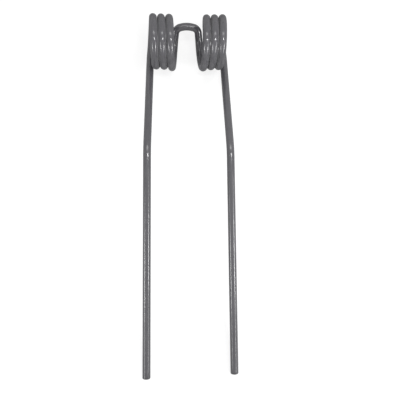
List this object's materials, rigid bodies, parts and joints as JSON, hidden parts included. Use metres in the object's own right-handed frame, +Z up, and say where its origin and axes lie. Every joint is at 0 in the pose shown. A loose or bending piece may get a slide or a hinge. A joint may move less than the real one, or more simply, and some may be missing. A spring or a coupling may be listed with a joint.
{
  "type": "rake tine",
  "caption": "Sprung double tine bent from round wire, with two coils, a clamp loop between them and two long legs with a knee.",
  "frame": {"origin": "on the floor it lies on, under the middle of the box round the whole tine", "axes": "+X along the coils towards the slightly shorter leg, +Y from the tips towards the loop, +Z up, out of the front of the coils"},
  "size_m": [0.1158, 0.4458, 0.0693],
  "materials": {
    "grey_coating": "smooth semi-gloss grey coating on spring steel"
  },
  "bodies": {
    "root": {"rake_tine": "grey_coating"}
  },
  "joints": []
}
